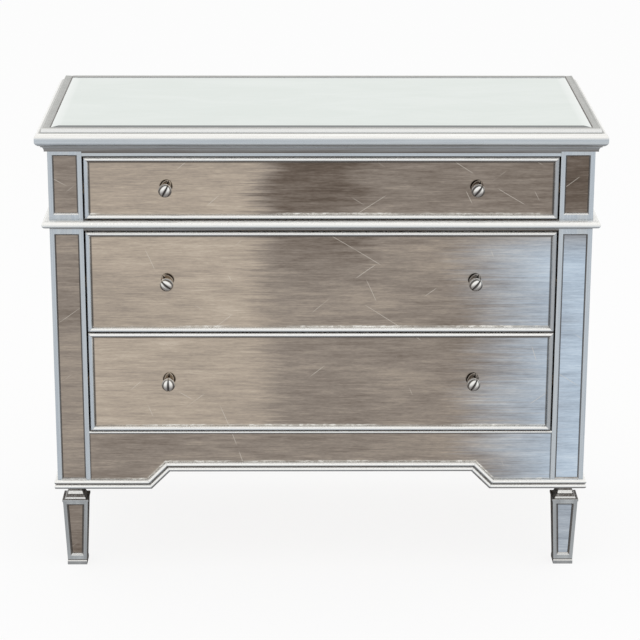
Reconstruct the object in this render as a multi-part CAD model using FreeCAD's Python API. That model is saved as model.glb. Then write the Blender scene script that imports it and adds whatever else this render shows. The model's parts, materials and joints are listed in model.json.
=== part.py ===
import FreeCAD, Part
import math
import os

# Mirrored chest of drawers in a silvered wood frame, millimetres, +Z up, front towards -Y.
# The origin lies on the floor, midway across and midway between the knob tips and the back.

# Case
case_width = 1024.0
case_depth = 478.6
post_width = 64.0
post_depth = 64.0
panel_thickness = 18.0
rail_thickness = 20.0
top_rail_height = 21.7
waist_rail_height = 20.4
back_thickness = 6.0
back_rebate = 10.0
bottom_thickness = 12.0
bottom_drop = 10.0

# Top: a mitred frame with a quirked ovolo, let round a bevelled mirror on a core board
top_overhang = 21.4
nose_drop = 8.0
nose_face = 8.5
ovolo_rise = 10.0
ovolo_run = 10.4
quirk_width = 1.1
fillet_rise = 6.5
fillet_radius = 1.6
top_flat_width = 17.5
top_back_strip = 12.6
top_mirror_thickness = 5.0
top_bevel_width = 19.0
top_bevel_drop = 1.5

# Mouldings run round the front and both sides
cornice_height = 11.5
cornice_out = 11.2
cornice_foot_out = 5.6
cornice_lip_height = 2.2
cornice_lip_width = 1.4
waist_out = 13.6
waist_height = 14.0
base_out = 6.2
base_height = 18.5

# Apron with its raised middle
apron_glass_height = 95.6
apron_thickness = 18.0
apron_strip_height = 4.5
apron_strip_out = 1.5
notch_foot = 329.0
notch_rise = 36.0

# Drawers
upper_drawer_height = 119.4
lower_drawer_height = 198.2
drawer_reveal = 2.0
drawer_side_gap = 3.0
front_thickness = 16.0
box_length = 415.0
box_side_thickness = 15.0
box_back_thickness = 13.0
box_bottom_thickness = 6.0
box_lift = 12.0
box_drop = 22.0
box_back_drop = 8.0
bottom_inset = 9.0
bottom_tongue = 5.0
bottom_clearance = 0.2

# Drawer faces: mirror inside a mitred half-round bead
mirror_thickness = 4.0
mirror_setback = 1.0
bead_width = 9.0
bead_proud = 5.0
glass_clearance = 0.3

# Wooden runners in grooves of the drawer sides
runner_height = 20.0
runner_width = 10.0
runner_end_gap = 8.0
runner_seat = 0.3
runner_play = 1.2
runner_side_play = 0.8

# Inlaid mirrors of posts and side panels
inlay_border = 8.5
inlay_depth = 3.0
inlay_bevel = 2.5
inlay_glass = 3.0
upper_inlay_head = 8.0
upper_inlay_sill = 10.9
lower_inlay_head = 13.3
lower_inlay_sill = 0.5

# Legs, from the floor up
leg_foot_width = 38.5
leg_foot_block = 7.0
leg_foot_bevel = 4.0
leg_shaft_foot_width = 36.5
leg_shaft_top_width = 47.5
leg_shaft_height = 124.0
leg_collar_width = 51.0
leg_collar_height = 4.5
leg_step_width = 41.0
leg_step_top_width = 33.0
leg_step_height = 8.5
leg_neck_width = 30.0
leg_neck_top_width = 24.5
leg_neck_flare = 9.5
leg_neck_height = 18.5
leg_inlay_border = 6.2
leg_inlay_head = 5.0
leg_inlay_sill = 8.5
leg_inlay_depth = 4.0
leg_inlay_bevel = 3.5

# Knobs: a fluted ball whose poles lie across the stem, each turned to its own angle
knob_spread = 585.0
knob_ball_radius = 13.0
knob_ball_out = 19.0
knob_flute_radius = 3.2
knob_flute_lift = 0.8
knob_neck_radius = 5.0
knob_base_radius = 7.0
knob_base_height = 2.5
flute_pairs = 3
knob_turns_deg = {"top": (28.0, 38.0), "middle": (-50.0, 40.0), "bottom": (0.0, 30.0)}

# Fasteners
knob_screw_radius = 2.0
knob_screw_bite = 9.0
knob_screw_head_radius = 4.0
knob_screw_head_height = 2.4
leg_bolt_radius = 4.0
leg_bolt_bite = 34.0
back_screw_radius = 1.75
back_screw_length = 25.0
back_screw_head_radius = 4.0
back_screw_head_height = 2.6
back_screws_per_side = 6
back_screw_end_gap = 40.0
hole_clearance = 0.15

# Reach of cutting solids past what they cut
overrun = 30.0

# Shape of arcs: rise of the arc as a share of its chord
half_round_share = 0.5
quarter_round_share = math.tan(math.pi / 8) / 2
ovolo_share = 0.19
cornice_share = -0.16
slight_share = 0.12

# Heights of the stack, from the floor up
leg_height = (leg_foot_block + leg_foot_bevel + leg_shaft_height + leg_collar_height
              + leg_step_height + leg_neck_height)
base_z = leg_height
apron_glass_z = base_z + base_height
apron_strip_z = apron_glass_z + apron_glass_height
apron_top_z = apron_strip_z + apron_strip_height
bottom_drawer_z = apron_top_z + drawer_reveal
middle_drawer_z = bottom_drawer_z + lower_drawer_height + drawer_reveal
waist_rail_z = middle_drawer_z + lower_drawer_height + drawer_reveal
waist_top_z = waist_rail_z + waist_rail_height
top_drawer_z = waist_top_z + drawer_reveal
top_rail_z = top_drawer_z + upper_drawer_height + drawer_reveal
case_top_z = top_rail_z + top_rail_height
top_thickness = nose_drop + nose_face + ovolo_rise + fillet_rise
top_z = case_top_z + top_thickness
waist_z = waist_top_z - waist_height

# Places across and in depth
case_half = case_width / 2
bay_half = case_half - post_width
drawer_half = bay_half - drawer_side_gap
flute_ring_radius = knob_ball_radius + knob_flute_lift
ball_reach = ((knob_ball_radius ** 2 + flute_ring_radius ** 2 - knob_flute_radius ** 2)
              / (2 * flute_ring_radius))
front_y = (knob_ball_out + ball_reach - mirror_setback - case_depth) / 2
back_y = front_y + case_depth
glass_y = front_y + mirror_setback
board_y = glass_y + mirror_thickness
box_y = board_y + front_thickness
box_end_y = box_y + box_length
back_panel_y = back_y - back_thickness
leg_x = case_half - post_width / 2
leg_front_y = front_y + post_depth / 2
leg_rear_y = back_y - post_depth / 2

drawer_stack = {
    "top": (top_drawer_z, upper_drawer_height),
    "middle": (middle_drawer_z, lower_drawer_height),
    "bottom": (bottom_drawer_z, lower_drawer_height),
}


def vec(x, y, z):
    return FreeCAD.Vector(x, y, z)


def box(x0, x1, y0, y1, z0, z1):
    return Part.makeBox(x1 - x0, y1 - y0, z1 - z0, vec(x0, y0, z0))


def mirrored(shape):
    return shape.mirror(vec(0, 0, 0), vec(1, 0, 0))


def save(node, *solids):
    shape = solids[0] if len(solids) == 1 else Part.makeCompound(list(solids))
    shape.exportStep("parts/%s.step" % node)


def section(corners, place):
    """Face of a counter-clockwise outline; a corner's third value bows its run outwards."""
    edges = []
    last = corners[-1]
    for corner in corners:
        (u0, v0), (u1, v1) = last[:2], corner[:2]
        start, end = place(u0, v0), place(u1, v1)
        if len(corner) == 2:
            edges.append(Part.LineSegment(start, end).toShape())
        else:
            bow = corner[2]
            middle = place((u0 + u1) / 2 + bow * (v1 - v0), (v0 + v1) / 2 - bow * (u1 - u0))
            edges.append(Part.Arc(start, middle, end).toShape())
        last = corner
    return Part.Face(Part.Wire(edges))


def plan_prism(points):
    """Full-height prism over an outline drawn in plan."""
    face = section(points, lambda x, y: vec(x, y, 0))
    return face.extrude(vec(0, 0, top_z + overrun))


def front_prism(points, y0, y1):
    """Prism through the depth y0 to y1 of an outline drawn on the front."""
    face = section(points, lambda x, z: vec(x, y0, z))
    return face.extrude(vec(0, y1 - y0, 0))


def frustum(near, far):
    """Solid between two four-cornered rims."""
    rims = [Part.makePolygon(rim + rim[:1]) for rim in (near, far)]
    return Part.makeLoft(rims, True, True)


# Mouldings round the case: outlines are (distance out of the case face, height)

def front_length(outline, out, inward):
    span = case_half + out
    run = section(outline, lambda n, z: vec(-span, front_y - n, z)).extrude(vec(2 * span, 0, 0))
    inner = case_half - inward
    plan = plan_prism([
        (-span, front_y - out), (span, front_y - out),
        (inner, front_y + inward), (-inner, front_y + inward),
    ])
    return run.common(plan).Solids[0]


def right_length(outline, out, inward):
    start = front_y - out
    face = section(outline, lambda n, z: vec(case_half + n, start, z))
    run = face.extrude(vec(0, back_y - start, 0))
    plan = plan_prism([
        (case_half + out, start), (case_half + out, back_y),
        (case_half - inward, back_y), (case_half - inward, front_y + inward),
    ])
    return run.common(plan).Solids[0]


def top_outline():
    inner = top_overhang - ovolo_run - quirk_width - top_flat_width
    ovolo_n = top_overhang - ovolo_run
    fillet_n = ovolo_n - quirk_width
    nose_z = case_top_z + nose_drop
    ovolo_z = nose_z + nose_face
    quirk_z = ovolo_z + ovolo_rise
    return [
        (inner, case_top_z),
        (cornice_out, case_top_z),
        (top_overhang, nose_z, slight_share),
        (top_overhang, ovolo_z),
        (ovolo_n, quirk_z, ovolo_share),
        (fillet_n, quirk_z),
        (fillet_n, top_z - fillet_radius),
        (fillet_n - fillet_radius, top_z, quarter_round_share),
        (inner, top_z),
    ]


def top_pieces():
    inward = ovolo_run + quirk_width + top_flat_width - top_overhang
    outline = top_outline()
    front = front_length(outline, top_overhang, inward)
    right = right_length(outline, top_overhang, inward)
    save("top_frame_front", front)
    save("top_frame_right", right)
    save("top_frame_left", mirrored(right))
    half = case_half - inward
    field_y0 = front_y + inward
    field_y1 = back_y - top_back_strip
    back = box(-half, half, field_y1, back_y, case_top_z, top_z)
    rear_edge = [e for e in back.Edges
                 if all(abs(v.Y - back_y) + abs(v.Z - top_z) < fillet_radius for v in e.Vertexes)]
    save("top_frame_back", back.makeFillet(fillet_radius, rear_edge))
    save("top_board", box(-half, half, field_y0, field_y1, case_top_z, top_z - top_mirror_thickness))
    save("top_mirror", bevelled_plate(half - glass_clearance, field_y0 + glass_clearance,
                                      field_y1 - glass_clearance))


def bevelled_plate(half, y0, y1):
    foot_z = top_z - top_mirror_thickness
    rim_z = top_z - top_bevel_drop

    def rim(inset, z):
        x = half - inset
        return [vec(-x, y0 + inset, z), vec(x, y0 + inset, z),
                vec(x, y1 - inset, z), vec(-x, y1 - inset, z)]
    slab = box(-half, half, y0, y1, foot_z, rim_z)
    return slab.fuse(frustum(rim(0, rim_z), rim(top_bevel_width, top_z))).removeSplitter()


def cornice_pieces():
    z0 = case_top_z - cornice_height
    lip_z = case_top_z - cornice_lip_height
    outline = [
        (0, z0), (cornice_foot_out, z0),
        (cornice_out - cornice_lip_width, lip_z, cornice_share),
        (cornice_out, lip_z), (cornice_out, case_top_z), (0, case_top_z),
    ]
    right = right_length(outline, cornice_out, 0)
    save("cornice", front_length(outline, cornice_out, 0), mirrored(right), right)


def waist_pieces():
    round_n = waist_out - waist_height / 2
    outline = [
        (0, waist_z), (round_n, waist_z),
        (round_n, waist_top_z, half_round_share), (0, waist_top_z),
    ]
    right = right_length(outline, waist_out, 0)
    save("waist_moulding", front_length(outline, waist_out, 0), mirrored(right), right)


# Base moulding: a double bead that climbs over the raised middle of the apron

def double_bead():
    bead = base_height / 2
    lip = base_out - bead / 2
    return [
        (0, 0), (lip, 0), (lip, bead, half_round_share),
        (lip, base_height, half_round_share), (0, base_height),
    ]


def base_path(half):
    head = notch_foot - notch_rise
    low, high = base_z, base_z + notch_rise
    return [(-half, low), (-notch_foot, low), (-head, high),
            (head, high), (notch_foot, low), (half, low)]


def raised(path, height):
    """The same path moved up square to its runs, with its corners mitred."""
    normals = []
    for (x0, z0), (x1, z1) in zip(path, path[1:]):
        length = math.hypot(x1 - x0, z1 - z0)
        normals.append(((z0 - z1) / length, (x1 - x0) / length))
    befores = normals[:1] + normals
    afters = normals + normals[-1:]
    moved = []
    for (x, z), (ax, az), (bx, bz) in zip(path, befores, afters):
        spread = 1 + ax * bx + az * bz
        moved.append((x + height * (ax + bx) / spread, z + height * (az + bz) / spread))
    return moved


def base_run(start, end):
    """Double bead along one straight run of the path, longer than the run at both ends."""
    length = math.hypot(end[0] - start[0], end[1] - start[1])
    dx, dz = (end[0] - start[0]) / length, (end[1] - start[1]) / length
    x0, z0 = start[0] - overrun * dx, start[1] - overrun * dz
    face = section(double_bead(), lambda n, t: vec(x0 - t * dz, front_y - n, z0 + t * dx))
    reach = length + 2 * overrun
    return face.extrude(vec(reach * dx, 0, reach * dz))


def base_pieces():
    span = case_half + base_out
    low = base_path(span)
    high = raised(low, base_height)
    plan = plan_prism([(-span, front_y - base_out), (span, front_y - base_out),
                       (case_half, front_y), (-case_half, front_y)])
    lengths = []
    for i in range(len(low) - 1):
        mitre = front_prism([low[i], low[i + 1], high[i + 1], high[i]], front_y - base_out, front_y)
        lengths.append(base_run(low[i], low[i + 1]).common(mitre).common(plan).Solids[0])
    outline = [(corner[0], base_z + corner[1]) + corner[2:] for corner in double_bead()]
    right = right_length(outline, base_out, 0)
    save("base_moulding", *lengths, mirrored(right), right)


def apron_pieces():
    low = base_path(bay_half)
    high = raised(low, base_height)
    head = [(bay_half, apron_top_z), (-bay_half, apron_top_z)]
    board = front_prism(low + head, board_y, board_y + apron_thickness)
    ledge = front_prism(low + high[::-1], front_y, board_y)
    save("apron_board", board.fuse(ledge).removeSplitter())
    rim = raised(base_path(bay_half - glass_clearance), base_height + glass_clearance)
    x = bay_half - glass_clearance
    glass_head = apron_strip_z - glass_clearance
    glass = front_prism(rim + [(x, glass_head), (-x, glass_head)], glass_y, board_y)
    save("apron_mirror", glass)
    z0, z1 = apron_strip_z, apron_top_z
    nose = front_y - apron_strip_out + apron_strip_height / 2
    strip = section([(board_y, z0), (board_y, z1), (nose, z1), (nose, z0, half_round_share)],
                    lambda y, z: vec(-bay_half, y, z))
    save("apron_strip", strip.extrude(vec(2 * bay_half, 0, 0)))


# Inlaid mirrors: outer and inner rims are (place along the face, height)

def inlay(place, outer, inner, pane, depth):
    """Bevelled pocket and the pane that lies in it; place takes (along, into the face, height)."""
    def rim(corners, into):
        return [place(u, into, z) for u, z in corners]
    floor = depth + inlay_glass
    pocket = frustum(rim(outer, 0), rim(inner, depth)).fuse(
        frustum(rim(inner, depth), rim(inner, floor)))
    return pocket, frustum(rim(pane, depth), rim(pane, floor))


def rectangle(u0, u1, z0, z1, inset):
    return [(u0 + inset, z0 + inset), (u1 - inset, z0 + inset),
            (u1 - inset, z1 - inset), (u0 + inset, z1 - inset)]


def face_inlays(place, u0, u1):
    """Upper and lower pocket with its pane, on a face of the case between u0 and u1."""
    cornice_z = case_top_z - cornice_height
    bands = ((waist_top_z + upper_inlay_sill, cornice_z - upper_inlay_head),
             (base_z + base_height + lower_inlay_sill, waist_z - lower_inlay_head))
    made = []
    for z0, z1 in bands:
        rims = [rectangle(u0 + inlay_border, u1 - inlay_border, z0, z1, inset)
                for inset in (0, inlay_bevel, inlay_bevel + glass_clearance)]
        made.append(inlay(place, *rims, inlay_depth))
    return made


def back_screw_heights():
    low = base_z + back_screw_end_gap
    step = (case_top_z - back_screw_end_gap - low) / (back_screws_per_side - 1)
    return [low + i * step for i in range(back_screws_per_side)]


def rod(radius, length, foot, axis):
    return Part.makeCylinder(radius, length, foot, axis)


def post_pieces():
    bolt_hole = leg_bolt_radius + hole_clearance
    up = vec(0, 0, 1)
    front = box(bay_half, case_half, front_y, front_y + post_depth, base_z, case_top_z)
    upper, lower = face_inlays(lambda u, d, z: vec(u, front_y + d, z), bay_half, case_half)
    front = front.cut(upper[0]).cut(lower[0])
    front = front.cut(rod(bolt_hole, leg_bolt_bite, vec(leg_x, leg_front_y, base_z), up))
    save("front_right_post", front)
    save("front_left_post", mirrored(front))
    save("upper_post_mirrors", mirrored(upper[1]), upper[1])
    save("lower_post_mirrors", mirrored(lower[1]), lower[1])
    rear = box(bay_half, case_half, back_y - post_depth, back_y, base_z, case_top_z)
    rear = rear.cut(box(bay_half - overrun, bay_half + back_rebate, back_panel_y, back_y + overrun,
                        base_z - overrun, case_top_z + overrun))
    rear = rear.cut(rod(bolt_hole, leg_bolt_bite, vec(leg_x, leg_rear_y, base_z), up))
    screw_hole = back_screw_radius + hole_clearance
    for z in back_screw_heights():
        mouth = vec(bay_half + back_rebate / 2, back_y, z)
        rear = rear.cut(rod(screw_hole, back_screw_length, mouth, vec(0, -1, 0)))
    save("rear_right_post", rear)
    save("rear_left_post", mirrored(rear))


def side_pieces():
    y0, y1 = front_y + post_depth, back_y - post_depth
    panel = box(case_half - panel_thickness, case_half, y0, y1, base_z, case_top_z)
    upper, lower = face_inlays(lambda u, d, z: vec(case_half - d, u, z), y0, y1)
    panel = panel.cut(upper[0]).cut(lower[0])
    save("right_side_panel", panel)
    save("left_side_panel", mirrored(panel))
    save("side_mirrors", *[turned for pane in (upper[1], lower[1]) for turned in (mirrored(pane), pane)])


def bottom_board():
    """Floor of the case, cut out round the four posts."""
    top = apron_top_z - bottom_drop
    front, back = front_y + post_depth, back_y - post_depth
    wide = case_half - panel_thickness
    middle = box(-bay_half, bay_half, board_y + apron_thickness, back_panel_y,
                 top - bottom_thickness, top)
    across = box(-wide, wide, front, back, top - bottom_thickness, top)
    return middle.fuse(across).removeSplitter()


def case_boards():
    save("top_rail", box(-bay_half, bay_half, front_y, front_y + rail_thickness, top_rail_z, case_top_z))
    save("waist_rail", box(-bay_half, bay_half, front_y, front_y + rail_thickness,
                           waist_rail_z, waist_top_z))
    save("bottom_board", bottom_board())
    half = bay_half + back_rebate
    panel = box(-half, half, back_panel_y, back_y, base_z, case_top_z)
    screws = []
    inwards = vec(0, -1, 0)
    for side in (-1, 1):
        for z in back_screw_heights():
            mouth = vec(side * (bay_half + back_rebate / 2), back_y, z)
            hole = rod(back_screw_radius + hole_clearance, back_screw_length, mouth, inwards)
            sink = Part.makeCone(back_screw_head_radius + hole_clearance,
                                 back_screw_radius + hole_clearance, back_screw_head_height,
                                 mouth, inwards)
            panel = panel.cut(hole).cut(sink)
            head = Part.makeCone(back_screw_head_radius, back_screw_radius, back_screw_head_height,
                                 mouth, inwards)
            screws.append(head.fuse(rod(back_screw_radius, back_screw_length, mouth, inwards))
                          .removeSplitter())
    save("back_panel", panel)
    save("back_screws", *screws)


def runner_z(name):
    """Underside of the runner that carries a drawer, half way up the drawer's sides."""
    z, height = drawer_stack[name]
    return z + (box_lift + height - box_drop - runner_height) / 2


def runner_pieces():
    strips = []
    for name in drawer_stack:
        z = runner_z(name)
        strip = box(bay_half - runner_width, bay_half, box_y + runner_seat,
                    back_panel_y - runner_end_gap, z, z + runner_height)
        strips += [mirrored(strip), strip]
    save("drawer_runners", *strips)


# Legs

def square(half, z, x, y):
    return [vec(x - half, y - half, z), vec(x + half, y - half, z),
            vec(x + half, y + half, z), vec(x - half, y + half, z)]


def leg_stack(x, y):
    """Foot, tapered shaft, collar, flared step and neck, from the floor up."""
    foot_z = leg_foot_block + leg_foot_bevel
    shaft_z = foot_z + leg_shaft_height
    collar_z = shaft_z + leg_collar_height
    step_z = collar_z + leg_step_height
    flare_z = step_z + leg_neck_flare
    tiers = [
        (0, leg_foot_width, leg_foot_block, leg_foot_width),
        (leg_foot_block, leg_foot_width, foot_z, leg_shaft_foot_width),
        (foot_z, leg_shaft_foot_width, shaft_z, leg_shaft_top_width),
        (shaft_z, leg_collar_width, collar_z, leg_collar_width),
        (collar_z, leg_step_width, step_z, leg_step_top_width),
        (step_z, leg_neck_width, flare_z, leg_neck_top_width),
        (flare_z, leg_neck_top_width, leg_height, leg_neck_top_width),
    ]
    solids = [frustum(square(w0 / 2, z0, x, y), square(w1 / 2, z1, x, y)) for z0, w0, z1, w1 in tiers]
    return solids[0].multiFuse(solids[1:]).removeSplitter()


def leg_inlay(x, y, turn_deg):
    """Tapered pocket and pane on the face that looks to the front before it is turned."""
    foot_z = leg_foot_block + leg_foot_bevel
    shaft_z = foot_z + leg_shaft_height
    slope = (leg_shaft_top_width - leg_shaft_foot_width) / (2 * leg_shaft_height)

    def half_width(z):
        return leg_shaft_foot_width / 2 + slope * (z - foot_z)

    def rim(inset):
        z0 = foot_z + leg_inlay_sill + inset
        z1 = shaft_z - leg_inlay_head - inset
        u0 = half_width(z0) - leg_inlay_border - inset
        u1 = half_width(z1) - leg_inlay_border - inset
        return [(-u0, z0), (u0, z0), (u1, z1), (-u1, z1)]

    def place(u, d, z):
        return vec(x + u, y - half_width(z) + d, z)
    made = inlay(place, rim(0), rim(leg_inlay_bevel), rim(leg_inlay_bevel + glass_clearance),
                 leg_inlay_depth)
    for shape in made:
        shape.rotate(vec(x, y, 0), vec(0, 0, 1), turn_deg)
    return made


def leg_pieces():
    quarter_turn_deg = 90.0
    panes, bolts = [], []
    up = vec(0, 0, 1)
    for place, y, turns in (("front", leg_front_y, (0, quarter_turn_deg)),
                            ("rear", leg_rear_y, (quarter_turn_deg,))):
        leg = leg_stack(leg_x, y)
        for turn in turns:
            pocket, pane = leg_inlay(leg_x, y, turn)
            leg = leg.cut(pocket)
            panes += [mirrored(pane), pane]
        foot = vec(leg_x, y, leg_height - leg_bolt_bite)
        leg = leg.cut(rod(leg_bolt_radius + hole_clearance, leg_bolt_bite, foot, up))
        bolt = rod(leg_bolt_radius, 2 * leg_bolt_bite, foot, up)
        bolts += [mirrored(bolt), bolt]
        save("%s_right_leg" % place, leg)
        save("%s_left_leg" % place, mirrored(leg))
    save("leg_mirrors", *panes)
    save("leg_bolts", *bolts)


# Drawers

def bead_lengths(z0, z1):
    """Four mitred lengths of half-round bead round a drawer face."""
    w = bead_width
    depth = bead_proud + mirror_setback + mirror_thickness
    shoulder = depth - w / 2
    outline = [(0, 0), (w, 0), (w, shoulder), (0, shoulder, half_round_share)]
    x = drawer_half
    y0, y1 = board_y - depth, board_y
    foot = section(outline, lambda u, v: vec(-x, board_y - v, z0 + u)).extrude(vec(2 * x, 0, 0))
    head = section(outline, lambda u, v: vec(-x, board_y - v, z1 - u)).extrude(vec(2 * x, 0, 0))
    right = section(outline, lambda u, v: vec(x - u, board_y - v, z0)).extrude(vec(0, 0, z1 - z0))
    foot = foot.common(front_prism([(-x, z0), (x, z0), (x - w, z0 + w), (w - x, z0 + w)], y0, y1))
    head = head.common(front_prism([(w - x, z1 - w), (x - w, z1 - w), (x, z1), (-x, z1)], y0, y1))
    right = right.common(front_prism([(x, z0), (x, z1), (x - w, z1 - w), (x - w, z0 + w)], y0, y1))
    return [foot.Solids[0], head.Solids[0], mirrored(right.Solids[0]), right.Solids[0]]


def fluted_ball():
    """Ball about the origin with flutes from pole to pole along Z, one of them at the front."""
    origin = vec(0, 0, 0)
    half_lobe_deg = 90.0 / flute_pairs
    pole_deg = 90.0
    front_deg = -90.0
    wedge = Part.makeSphere(knob_ball_radius, origin, vec(0, 0, 1), -pole_deg, pole_deg, half_lobe_deg)
    flute = Part.makeTorus(flute_ring_radius, knob_flute_radius, origin, vec(0, 1, 0))
    half_lobe = wedge.cut(flute)
    pieces = []
    for i in range(2 * flute_pairs):
        for piece in (half_lobe.copy(), half_lobe.mirror(origin, vec(0, 1, 0))):
            piece.rotate(origin, vec(0, 0, 1), front_deg + 2 * half_lobe_deg * i)
            pieces.append(piece)
    return pieces[0].multiFuse(pieces[1:]).removeSplitter()


def knob():
    """Fluted ball about the origin on a neck and a base that stand behind it."""
    seat = vec(0, knob_ball_out, 0)
    outwards = vec(0, -1, 0)
    neck = rod(knob_neck_radius, knob_ball_out, seat, outwards)
    base = rod(knob_base_radius, knob_base_height, seat, outwards)
    hole = rod(knob_screw_radius + hole_clearance, knob_screw_bite, seat, outwards)
    return fluted_ball().fuse(neck).fuse(base).cut(hole).removeSplitter()


def placed_knob(x, z, turn_deg):
    piece = knob()
    piece.rotate(vec(0, 0, 0), vec(0, 1, 0), turn_deg)
    piece.translate(vec(x, glass_y - knob_ball_out, z))
    return piece


def knob_screw(x, z):
    """Pan-head screw from inside the drawer, through the board and mirror into the knob."""
    seat = vec(x, box_y, z)
    shank_length = box_y - glass_y + knob_screw_bite
    shank = rod(knob_screw_radius, shank_length, seat, vec(0, -1, 0))
    head = rod(knob_screw_head_radius, knob_screw_head_height, seat, vec(0, 1, 0))
    return shank.fuse(head).removeSplitter()


def drawer_pieces(name):
    z0, height = drawer_stack[name]
    z1 = z0 + height
    x = drawer_half
    inner = x - box_side_thickness
    side_z0, side_z1 = z0 + box_lift, z1 - box_drop
    floor_z = side_z0 + bottom_inset
    floor_top = floor_z + box_bottom_thickness
    tongue = inner + bottom_tongue
    groove = box(-tongue - bottom_clearance, tongue + bottom_clearance,
                 box_y - bottom_tongue - bottom_clearance, box_end_y + overrun,
                 floor_z - bottom_clearance, floor_top + bottom_clearance)
    knob_z = (z0 + z1) / 2
    knob_places = [(side * knob_spread / 2, knob_z) for side in (-1, 1)]
    stems = [rod(knob_screw_radius + hole_clearance, box_y - front_y + overrun,
                 vec(kx, front_y - overrun, kz), vec(0, 1, 0)) for kx, kz in knob_places]
    front = box(-x, x, board_y, box_y, z0, z1).cut(groove)
    glass_half = x - bead_width - glass_clearance
    rim = bead_width + glass_clearance
    glass = box(-glass_half, glass_half, glass_y, board_y, z0 + rim, z1 - rim)
    for stem in stems:
        front = front.cut(stem)
        glass = glass.cut(stem)
    slide_z = runner_z(name)
    slot = box(bay_half - runner_width - runner_side_play, bay_half + overrun,
               box_y, box_end_y + overrun,
               slide_z - runner_play, slide_z + runner_height + runner_seat)
    side = box(inner, x, box_y, box_end_y, side_z0, side_z1).cut(groove).cut(slot)
    back = box(-inner, inner, box_end_y - box_back_thickness, box_end_y,
               floor_top, side_z1 - box_back_drop)
    floor = box(-tongue, tongue, box_y - bottom_tongue, box_end_y, floor_z, floor_top)
    save("%s_drawer_front" % name, front)
    save("%s_drawer_mirror" % name, glass)
    save("%s_drawer_bead" % name, *bead_lengths(z0, z1))
    save("%s_drawer_left_side" % name, mirrored(side))
    save("%s_drawer_right_side" % name, side)
    save("%s_drawer_back" % name, back)
    save("%s_drawer_bottom" % name, floor)
    knobs = [placed_knob(kx, kz, turn) for (kx, kz), turn in zip(knob_places, knob_turns_deg[name])]
    save("%s_drawer_knobs" % name, *knobs)
    save("%s_drawer_knob_screws" % name, *[knob_screw(kx, kz) for kx, kz in knob_places])


os.makedirs("parts", exist_ok=True)
top_pieces()
cornice_pieces()
waist_pieces()
base_pieces()
apron_pieces()
post_pieces()
side_pieces()
case_boards()
runner_pieces()
leg_pieces()
for drawer in drawer_stack:
    drawer_pieces(drawer)
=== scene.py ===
import json
import math

import bmesh
import bpy
from mathutils import Matrix, Vector


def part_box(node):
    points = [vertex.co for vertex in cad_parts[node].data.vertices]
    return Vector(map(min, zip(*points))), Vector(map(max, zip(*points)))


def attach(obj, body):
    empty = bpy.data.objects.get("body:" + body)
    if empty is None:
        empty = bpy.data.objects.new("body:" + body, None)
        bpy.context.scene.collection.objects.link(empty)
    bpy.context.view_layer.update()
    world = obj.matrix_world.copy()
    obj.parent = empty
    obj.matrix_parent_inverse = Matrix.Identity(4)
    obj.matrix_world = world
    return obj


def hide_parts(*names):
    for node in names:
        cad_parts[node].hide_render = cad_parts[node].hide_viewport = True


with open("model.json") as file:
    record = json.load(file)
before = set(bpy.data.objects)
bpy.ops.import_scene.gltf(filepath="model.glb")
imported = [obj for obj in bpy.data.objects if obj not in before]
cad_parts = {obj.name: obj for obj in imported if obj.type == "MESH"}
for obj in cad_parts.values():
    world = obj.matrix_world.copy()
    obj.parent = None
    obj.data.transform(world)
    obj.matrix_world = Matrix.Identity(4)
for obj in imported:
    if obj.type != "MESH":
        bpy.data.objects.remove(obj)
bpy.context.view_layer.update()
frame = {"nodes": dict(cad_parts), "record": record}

# Mirrored chest of drawers in a silvered wood frame, metres, +Z up, front towards -Y.

# Camera, fitted to a picture of 640 by 640
picture_side = 640
sensor_width = 36.0
focal_pixels = 2343.7
camera_place = (-0.0495, -4.4868, 1.8611)
camera_down_deg = 17.576
camera_turn_deg = -0.636
camera_roll_deg = 0.161

# How finely round stretches are cut, and how far sharp arrises are eased
arc_steps = 14
arris_ease = 0.0005
mitre_ease = 0.0003
board_ease = 0.0007
leg_ease = 0.0005
ease_steps = 2
weld_reach = arris_ease / 50
sharp_turn = math.radians(26)
crease = math.radians(38)

# Sections of the mouldings
top_overhang = 0.0214
nose_drop = 0.008
nose_face = 0.0085
nose_line = 0.0024
ovolo_rise = 0.0088
ovolo_run = 0.0104
quirk_width = 0.0011
fillet_lean = 0.0013
fillet_radius = 0.0016
top_flat_width = 0.0175
top_flat_dip = 0.0009
top_groove_width = 0.0022
groove_full_share = 0.8
cornice_out = 0.0112
cornice_foot_out = 0.0056
cornice_lip_height = 0.0022
cornice_lip_width = 0.0014
base_height = 0.0185
notch_foot = 0.329
notch_rise = 0.036
bead_width = 0.009

# Rise of each bowed stretch of a section, as a share of its chord
half_round_share = 0.5
quarter_round_share = math.tan(math.pi / 8) / 2
ovolo_share = 0.19
cornice_share = -0.16
nose_share = 0.12

# Share of each round that is painted with shade along its lower edge
head_bead_shade = 0.42
sill_bead_shade = 0.2
waist_round_shade = 0.12
base_round_shade = 0.46

# Bevelled mirror of the top, and how far its glass is painted with shade (-) or with highlights (+)
top_bevel_width = 0.019
top_bevel_drop = 0.0015
bevel_shade_share = 0.72
mirror_edge_shade = -2.4
front_bevel_foot_shade = -1.2
front_bevel_shade = -0.65
bevel_foot_bright = 0.5
bevel_bright = 0.3
bevel_head_bright = 0.1

# Edge strips of the mirror panes: painted shade (-) at the head and sides; flakes and a lighter painted
# reflection of the bead (+) along the sill
pane_head_edge = 0.003
pane_side_edge = 0.003
pane_sill_edge = 0.0042
flaked_and_reflecting_sill = 1.0
darkened_head = -1.1
darkened_side = -1.5
darkened_apron = -1.0
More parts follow.
